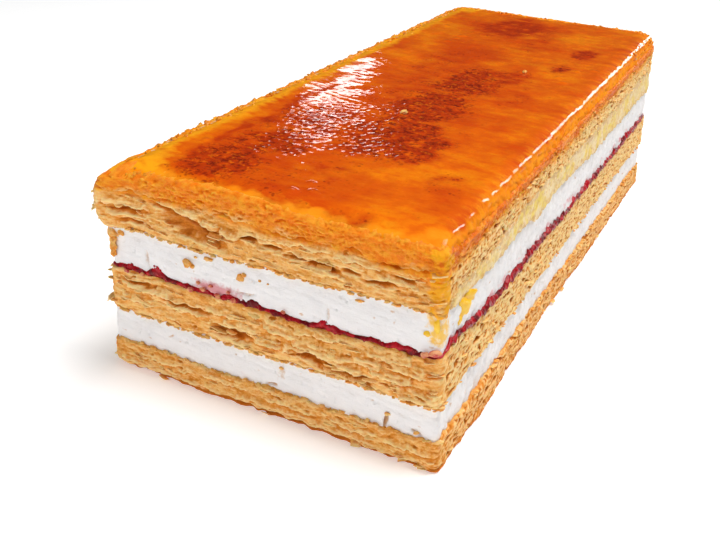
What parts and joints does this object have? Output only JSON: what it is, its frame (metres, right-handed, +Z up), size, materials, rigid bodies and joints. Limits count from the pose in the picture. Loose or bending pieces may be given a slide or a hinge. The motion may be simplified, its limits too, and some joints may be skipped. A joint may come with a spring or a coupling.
{
  "type": "puff pastry bar",
  "caption": "Long layered puff pastry bar with whipped cream, red jam, yolk custard and a burnt yolk glaze on top.",
  "frame": {"origin": "middle of the underside, on the surface that the bar stands on", "axes": "+Z up, Y along the bar's length with the cut short end that shows at -Y, X across it"},
  "size_m": [0.1292, 0.3048, 0.083],
  "materials": {
    "pastry_bottom": "matte",
    "cream_lower": "satin",
    "pastry_middle": "matte",
    "jam": "gloss",
    "cream_upper": "satin",
    "custard": "satin",
    "pastry_top": "matte",
    "glaze": "gloss"
  },
  "bodies": {
    "root": {"pastry_bottom": "pastry_bottom", "cream_lower": "cream_lower", "pastry_middle": "pastry_middle", "jam": "jam", "cream_upper": "cream_upper", "custard": "custard", "pastry_top": "pastry_top", "glaze": "glaze"}
  },
  "joints": []
}
